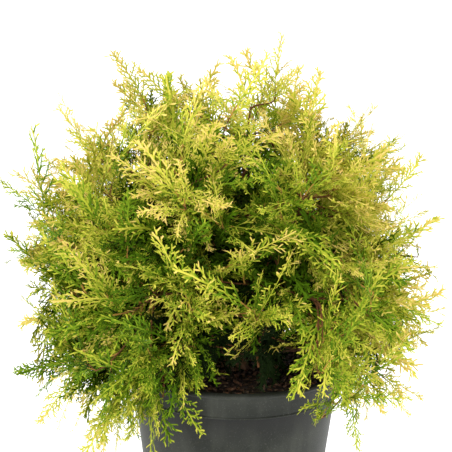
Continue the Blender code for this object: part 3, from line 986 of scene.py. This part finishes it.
class Spray:
    """A spray of unit length: x across its fan, y along its axis and z off the fan."""

    def __init__(self, rng, keeled=True):
        self.rng = rng
        self.grade = 0 if keeled else 1
        self.growth = Growth()
        share = np.linspace(0.0, 1.0, AXIS_STEPS)
        sway, nod = rng.normal(0.0, AXIS_BEND, 2)
        weave = 0.012 * np.sin(share * rng.uniform(8, 13) + rng.uniform(0, math.tau))
        axis = np.stack((sway * share**2 + weave * share, share, nod * share**2), axis=1)
        ages = 0.22 + 0.62 * share
        ages[share < WOODY_SHARE] = WOODY
        self.strip(axis, (0.85, 1.0), AXIS_WIDTH, ages, keeled)
        side = rng.choice((-1, 1))
        place = rng.uniform(0.05, 0.13)
        while place < 0.96:
            side = -side
            length = BRANCHLET_REACH * spread(place) * rng.uniform(0.55, 1.15)
            if rng.uniform() > BRANCHLET_MISSING:
                self.branchlet(axis, place, side, length)
            place += BRANCHLET_SPACING[self.grade] * rng.uniform(0.75, 1.25) * (1.15 - 0.4 * place)
        for place in np.arange(0.10, 0.97, AXIS_FINGER_SPACING):
            root, heading = point_along(axis, place + rng.uniform(-0.01, 0.01))
            side = -side
            slant = side * math.radians(rng.uniform(*FINGER_ANGLES))
            reach = FINGER_REACH * rng.uniform(0.4, 0.9)
            tilt = rng.normal(0.0, AXIS_FINGER_TILT)
            self.finger(root, heading, slant, reach, tilt, 0.30 + 0.60 * place)
        self.points, self.faces, self.ages = self.growth.arrays()

    def branchlet(self, axis, place, side, length):
        rng = self.rng
        root, heading = point_along(axis, place)
        angle = side * math.radians(rng.uniform(*BRANCHLET_ANGLES))
        tilt = rng.normal(0.0, BRANCHLET_TILT)
        path = arc(root, heading, angle, -angle * rng.uniform(0.2, 0.7), length, tilt)
        share = np.linspace(0.0, 1.0, len(path))
        young = rng.normal(0.0, 0.07)
        self.strip(path, (0.8, 1.08), BRANCHLET_WIDTH, young + 0.38 * place + 0.32 * share)
        turn = side
        spot = length * rng.uniform(0.18, 0.32)
        while spot < length - 0.012:
            turn = -turn
            start, along = point_along(path, spot / length)
            reach = FINGER_REACH * (1.15 - 0.45 * spot / length) * rng.uniform(0.55, 1.25)
            slant = turn * math.radians(rng.uniform(*FINGER_ANGLES))
            age = young + 0.38 * place + 0.34 * spot / length + 0.24
            self.finger(start, along, slant, reach, tilt + rng.normal(0.0, FINGER_TILT), age)
            spot += FINGER_SPACING[self.grade] * rng.uniform(0.8, 1.2)

    def finger(self, root, heading, angle, length, tilt, age):
        """A short blunt blade, as broad as its branchlet, with a slanting end."""
        turn = math.atan2(heading[1], heading[0]) - angle
        along = np.array((math.cos(turn), math.sin(turn), tilt)) * length
        width = FINGER_WIDTH[self.grade]
        side = np.array((math.sin(turn), -math.cos(turn), 0.0))
        side *= math.copysign(width * 0.5, angle)
        outer = root + along * FINGER_SLANT + side - np.array((0.0, 0.0, width * RIDGE))
        points = np.array((root - side * 0.8, root + side * 0.8, outer, root + along - side * 0.5))
        self.growth.add(points, np.array(((0, 1, 2), (0, 2, 3))), age)

    def strip(self, path, widths, width, ages, keeled=False):
        """A strip of scale leaves with a toothed edge and a rounded tip, keeled or flat."""
        count = len(path)
        heading = unit(np.gradient(path, axis=0))
        across = unit(np.stack((heading[:, 1], -heading[:, 0], heading[:, 0] * 0), axis=1))
        half = np.linspace(*widths, count) * width * 0.5
        half[-1] *= 0.8
        tooth = TOOTH * (-1.0) ** np.arange(count)
        right = path + across * (half * (1 + tooth))[:, None]
        left = path - across * (half * (1 - tooth))[:, None]
        rows = [left, right]
        if keeled:
            rows.insert(1, path + np.array((0, 0, 1.0)) * (half * 2 * RIDGE)[:, None])
        last = count * len(rows)
        low = np.arange(count - 1)
        faces = []
        for row in range(len(rows) - 1):
            one, two = low + row * count, low + (row + 1) * count
            faces.append(np.stack((one, two, two + 1), axis=1))
            faces.append(np.stack((one, two + 1, one + 1), axis=1))
            faces.append([((row + 1) * count - 1, (row + 2) * count - 1, last)])
        tip = path[-1:] + heading[-1:] * width * 0.55
        kept = [part for _ in rows[1:] for part in (ages[:-1], ages[:-1], ages[-1:])]
        self.growth.add(np.concatenate((*rows, tip)), np.concatenate(faces), np.concatenate(kept))


def spread(place):
    """Length of a branchlet at a place along its spray, as a share of the longest."""
    rise = min(1.0, 0.55 + 2.2 * place)
    return rise * (1.0 - 0.72 * max(0.0, place - 0.30) / 0.70)


def arc(root, heading, angle, bend, length, tilt):
    """Points of a branchlet in the plane of its spray, which curves by bend along its way."""
    steps = max(3, round(length / BRANCHLET_STEP) + 1)
    share = np.linspace(0.0, 1.0, steps)
    start = math.atan2(heading[1], heading[0]) - angle
    turns = start - bend * share
    moves = np.stack((np.cos(turns), np.sin(turns), turns * 0 + tilt), axis=1)
    moves *= length / (steps - 1)
    moves[0] = 0.0
    return root + np.cumsum(moves, axis=0)


class Foliage:
    """Grows the stems, twigs and sprays of every mass."""

    def __init__(self, settings):
        self.settings = settings
        self.crown = Crown()
        self.rng = np.random.default_rng(SEED)
        self.templates = [Spray(self.rng) for _ in range(TEMPLATES)]
        self.flat = [Spray(self.rng, keeled=False) for _ in range(FLAT_TEMPLATES)]
        self.leaves = [Growth() for _ in MASSES]
        self.twigs = [Growth() for _ in MASSES]
        self.stems = []
        for index, (tier, _, _, _, reach, hang) in enumerate(MASSES):
            towards = self.crown.towards[index]
            stem = stem_points(self.crown.boughs[index], towards, reach, hang, tier == "lower")
            self.stems.append(stem)
            radii = np.linspace(STEM_RADIUS, STEM_TIP_RADIUS, len(stem))
            self.twigs[index].add(*tube(stem, radii, 7))

    def grow(self):
        """Leading twigs set round each mass's own direction by a golden turn."""
        crown = self.crown
        for azimuth, elevation, reach in TIPS:
            direction = direction_of(azimuth + self.rng.uniform(-14, 14), elevation)
            index = int(np.argmax(crown.towards @ direction))
            self.lead(index, direction, TIP_LAYER, reach, TIP_SLACK)
        for index, towards in enumerate(crown.towards):
            across, upward = across_of(towards)
            total = round(self.settings.leads * (1 + TOP_MORE * max(0.0, towards[2])))
            for number in range(total):
                share = (number + 0.5) / total
                lean = math.acos(1 - share * (1 - math.cos(CELL_BREADTH)))
                turn = GOLDEN_TURN * number
                side = across * math.cos(turn) + upward * math.sin(turn)
                direction = towards * math.cos(lean) + side * math.sin(lean)
                if int(np.argmax(crown.towards @ direction)) != index:
                    continue
                layer = self.layer(direction)
                if layer:
                    depth = self.rng.uniform(*layer[1:3]) * crown.cleft(direction)
                    reach = crown.reach(direction[None])[0] * depth
                    self.lead(index, direction, layer, reach)

    def layer(self, direction):
        """The layer of the leading twig at a direction, or none where it is missing."""
        rng = self.rng
        rank = rng.choice(len(LAYERS), p=[layer[0] for layer in LAYERS])
        if rng.uniform() < HOLLOW_SHARE * min(1.0, HOLLOW_EDGE * hollow(direction)):
            return None if direction[2] < math.sin(HOLLOW_FOOT) else LAYERS[-1]
        if direction[2] < LOW_RISE:
            missing = LOW_MISSING if direction[0] > 0 else 0.0
            return None if rng.uniform() < missing else LAYERS[min(rank, 1)]
        return LAYERS[rank]

    def lead(self, index, direction, layer, reach, slack=0.0):
        """A leading twig to one point near the crown's surface, with its sprays."""
        rng = self.rng
        crown = self.crown
        _, _, _, sprays, size, keeled, leans, tone, vigour = layer
        tip = HEART + direction * reach
        if tip[2] < crown.hang(direction[None])[0]:
            return
        length = self.settings.spray * size * rng.uniform(0.85, 1.25)
        heading, normal = self.lie(direction, leans)
        root = tip - heading * length * 0.97
        start, stem_heading = self.nearest_on_stem(index, root)
        span = np.linalg.norm(root - start)
        if span < 0.006:
            return
        path = cubic(
            start, start + stem_heading * span * 0.35, root - heading * span * 0.35, root, 7
        )
        if not crown.holds(path[1:], slack=0.002 + slack):
            return
        # Painted light and shade in the tone: higher tips paler and lower ones a little darker; the right
        # side paler and more golden, partly a tint and partly painted light; low sides paler, as if lit.
        paler = HEIGHT_PAINTED_LIGHT[0 if keeled else 1] * max(tip[2] - HEART[2], -0.05)
        low = 1 - LOW_SIDE_PAINTED_LIGHT * min(tip[2] - HEART[2], 0.0)
        paler += SIDE_TINT_AND_PAINTED_LIGHT[0] * abs(tip[0]) * low + SIDE_TINT_AND_PAINTED_LIGHT[1] * tip[0]
        vigour -= TONE_FADE * max(paler, 0.0)
        tone = min(tone + paler + rng.normal(0.0, 0.06), MOST_TONE)
        # Painted shade: sprays in and round the hollow get darker shades, as if in its shadow.
        tone -= HOLLOW_SHADE[0 if keeled else 1] * np.clip(hollow(direction) + (0.1 if keeled else 0.5), 0, 1)
        kept = not notched(np.array((tip, root)))
        spray = (tone, vigour, keeled, slack, kept)
        if not self.spray(index, root, heading, normal, length, *spray):
            return
        if kept:
            self.twigs[index].add(*tube(path, np.linspace(0.0009, 0.0005, len(path)), 5))
        side = rng.choice((-1, 1))
        for place in np.linspace(0.96, 0.30, sprays):
            side = -side
            point, along = point_along(path, place + rng.uniform(-0.05, 0.05))
            angle = side * math.radians(rng.uniform(30, 58))
            aim = unit(turned_about(along, normal, angle) + rng.normal(0, 0.07, 3))
            face = unit(normal + rng.normal(0, 0.15, 3))
            span = length * (1.05 - 0.45 * place) * rng.uniform(0.75, 1.1)
            self.spray(index, point, aim, face, span, *spray)

    def lie(self, direction, leans):
        """Heading and flat side of a leading spray at a direction from the heart."""
        rng = self.rng
        rise = direction[2]
        wander = rng.normal(size=3)
        wander = unit(wander - direction * np.dot(wander, direction))
        uphill = unit(UP - direction * rise + 1e-6)
        pull = 0.9 if rise > -0.1 else -0.9
        tangent = unit(wander + uphill * pull)
        lean = math.radians(rng.uniform(*leans))
        heading = unit(direction * math.cos(lean) + tangent * math.sin(lean))
        if rise < -0.25:
            outward = unit(direction * (1, 1, 0))
            heading = unit(heading * 0.5 + outward * 0.25 - UP * 0.55)
        face = direction - heading * np.dot(direction, heading)
        roll = rng.normal(0.0, math.radians(16 + 45 * math.cos(lean)))
        return heading, turned_about(unit(face), heading, roll)

    def nearest_on_stem(self, index, root):
        """The place on a mass's stem from which a twig reaches a point with least bend."""
        best = None
        for share in np.linspace(0.08, 0.98, STEM_PLACES) + self.rng.uniform(-0.02, 0.02):
            point, heading = point_along(self.stems[index], share)
            offset = root - point
            distance = np.linalg.norm(offset)
            bend = 1 - np.dot(heading, offset) / max(distance, 1e-6)
            cost = distance * (1 + 1.3 * bend)
            if best is None or cost < best[0]:
                best = (cost, point, heading)
        return best[1], best[2]

    def spray(self, index, root, heading, normal, length, tone, vigour, keeled, slack, kept):
        """Set one spray on a twig that is kept, and say if the crown has room for it."""
        rng = self.rng
        template = rng.choice(self.templates if keeled else self.flat)
        normal = unit(normal - heading * np.dot(normal, heading))
        across = np.cross(heading, normal)
        x, y, z = template.points.T
        droop = rng.uniform(0.0, 0.18) * (1 if normal[2] > 0 else -1)
        cup = rng.uniform(-0.25, 0.35)
        lift = z - droop * y**2 - cup * x**2
        shift = np.outer(x, across) + np.outer(y, heading) + np.outer(lift, normal)
        for share in (1.0, 0.88, 0.76, 0.64):
            points = root + shift * length * share
            if self.crown.holds(points[::17], slack=0.003 + slack):
                break
        else:
            return False
        # Painted light: flat sprays whose tips reach near the crown's surface get paler shades, as if less
        # shaded.
        if not keeled:
            out = points[-1] - HEART
            reach = self.crown.reach(unit(out)[None])[0]
            tone += OUTER_PAINTED_LIGHT * max(np.linalg.norm(out) / reach - OUTER_START, 0.0)
        shade = (tone + vigour * template.ages) * LEAF_SHADES
        slots = np.clip(shade.astype(int), 0, LEAF_SHADES - 1)
        if keeled:
            slots[template.ages == WOODY] = LEAF_SHADES
        if kept and not notched(points):
            self.leaves[index].add(points, template.faces, slots)
        return True


class ARBOR_OT_foliage(bpy.types.Operator):
    """Grow the stems, twigs and flat sprays of scale leaves of every mass"""

    bl_idname = "arborvitae.foliage"
    bl_label = "Foliage"

    def execute(self, context):
        settings = context.scene.arbor_foliage
        wood = context.scene.arbor_wood
        stops = np.array([settings.deep, settings.green, settings.bright, settings.gold])
        leaves = []
        for number in range(LEAF_SHADES):
            share = number / (LEAF_SHADES - 1)
            colour = [np.interp(share, LEAF_STOPS, stops[:, i]) for i in range(3)]
            leaves.append(plain_finish(f"leaf_shade_{number}", colour))
        leaves.append(plain_finish("young_twig", wood.twig, 0.6))
        bark = [plain_finish("twig_bark", (0.115, 0.050, 0.020), 0.7)]
        foliage = Foliage(settings)
        foliage.grow()
        for index, (tier, place, *_) in enumerate(MASSES):
            node = f"foliage_{tier}_{place}"
            foliage.leaves[index].piece(f"sprays_{tier}_{place}", leaves, [node], "foliage")
            foliage.twigs[index].piece(f"twigs_{tier}_{place}", bark, [node], "bark")
        return {"FINISHED"}


def area_lamp(name, place, size, power, colour=(1.0, 1.0, 1.0)):
    data = bpy.data.lights.new(name, "AREA")
    data.shape = "DISK"
    data.size = size
    data.energy = power
    data.color = colour
    item = bpy.data.objects.new(name, data)
    item.location = place
    aim = Vector((0.0, 0.0, HEART[2])) - item.location
    item.rotation_euler = aim.to_track_quat("-Z", "Y").to_euler()
    bpy.context.scene.collection.objects.link(item)


class ARBOR_OT_stage(bpy.types.Operator):
    """Set the pale floor, the white surround, the soft lamps and the camera"""

    bl_idname = "arborvitae.stage"
    bl_label = "Stage"

    def execute(self, context):
        settings = context.scene.arbor_stage
        scene = context.scene
        scene.view_settings.view_transform = "Standard"
        finish = Finish("pale_floor", Roughness=0.9)
        cloud = finish.noise(3.0, 2.0)
        tint = finish.blend(cloud * 0.02, settings.floor, (0.90, 0.90, 0.89))
        mesh = bpy.data.meshes.new("floor")
        turns = np.arange(96) * math.tau / 96
        ring = np.stack((np.cos(turns), np.sin(turns), turns * 0), axis=1) * 60.0
        mesh.from_pydata(ring.tolist(), [], [tuple(range(96))])
        mesh.materials.append(finish.feed(Base_Color=tint))
        floor = bpy.data.objects.new("floor", mesh)
        floor.location.z = -0.0002
        scene.collection.objects.link(floor)

        world = bpy.data.worlds.new("white_surround")
        world.use_nodes = True
        surround = world.node_tree.nodes["Background"]
        surround.inputs["Color"].default_value = (1.0, 1.0, 1.0, 1.0)
        surround.inputs["Strength"].default_value = settings.sky
        scene.world = world

        area_lamp("key", (-0.4, -1.3, 1.5), 1.0, settings.key, (1.0, 0.98, 0.94))
        area_lamp("left", (-1.5, -0.45, 0.75), 0.8, settings.key * 1.5)
        area_lamp("right", (1.5, -0.1, 0.75), 0.8, settings.key * 1.5)
        area_lamp("back", (0.2, 1.2, 1.8), 1.0, settings.key * 0.3)

        data = bpy.data.cameras.new("camera")
        data.sensor_width = SENSOR
        data.lens = SENSOR * FOCAL_PIXELS / PHOTO_SIDE
        camera = bpy.data.objects.new("camera", data)
        camera.location = CAMERA_PLACE
        yaw = math.atan(POT_AXIS_OFFSET / FOCAL_PIXELS)
        camera.rotation_mode = "XYZ"
        turn = math.radians(90) - CAMERA_PITCH
        stand = Matrix.Rotation(yaw, 3, "Z") @ Matrix.Rotation(turn, 3, "X")
        camera.rotation_euler = (stand @ Matrix.Rotation(CAMERA_ROLL, 3, "Z")).to_euler()
        scene.collection.objects.link(camera)
        scene.camera = camera
        return {"FINISHED"}


class ARBOR_PT_panel(bpy.types.Panel):
    """Buttons and settings of the potted arborvitae"""

    bl_idname = "ARBOR_PT_panel"
    bl_label = "Potted Arborvitae"
    bl_space_type = "VIEW_3D"
    bl_region_type = "UI"
    bl_category = "Arborvitae"

    def draw(self, context):
        for group, operator in STEPS:
            box = self.layout.box()
            settings = getattr(context.scene, group)
            for name in settings.__annotations__:
                box.prop(settings, name)
            box.operator(operator.bl_idname)


GROUPS = {
    "arbor_pot": PotSettings,
    "arbor_soil": SoilSettings,
    "arbor_wood": WoodSettings,
    "arbor_foliage": FoliageSettings,
    "arbor_stage": StageSettings,
}
STEPS = [
    ("arbor_pot", ARBOR_OT_pot),
    ("arbor_soil", ARBOR_OT_soil),
    ("arbor_wood", ARBOR_OT_limbs),
    ("arbor_foliage", ARBOR_OT_foliage),
    ("arbor_stage", ARBOR_OT_stage),
]


def register():
    for group in GROUPS.values():
        bpy.utils.register_class(group)
    for _, operator in STEPS:
        bpy.utils.register_class(operator)
    bpy.utils.register_class(ARBOR_PT_panel)
    for name, group in GROUPS.items():
        setattr(bpy.types.Scene, name, bpy.props.PointerProperty(type=group))


def unregister():
    for name in GROUPS:
        delattr(bpy.types.Scene, name)
    bpy.utils.unregister_class(ARBOR_PT_panel)
    for _, operator in reversed(STEPS):
        bpy.utils.unregister_class(operator)
    for group in reversed(GROUPS.values()):
        bpy.utils.unregister_class(group)


def main():
    register()
    bpy.ops.arborvitae.pot()
    bpy.ops.arborvitae.soil()
    bpy.ops.arborvitae.limbs()
    bpy.ops.arborvitae.foliage()
    bpy.ops.arborvitae.stage()


if __name__ == "__main__":
    main()
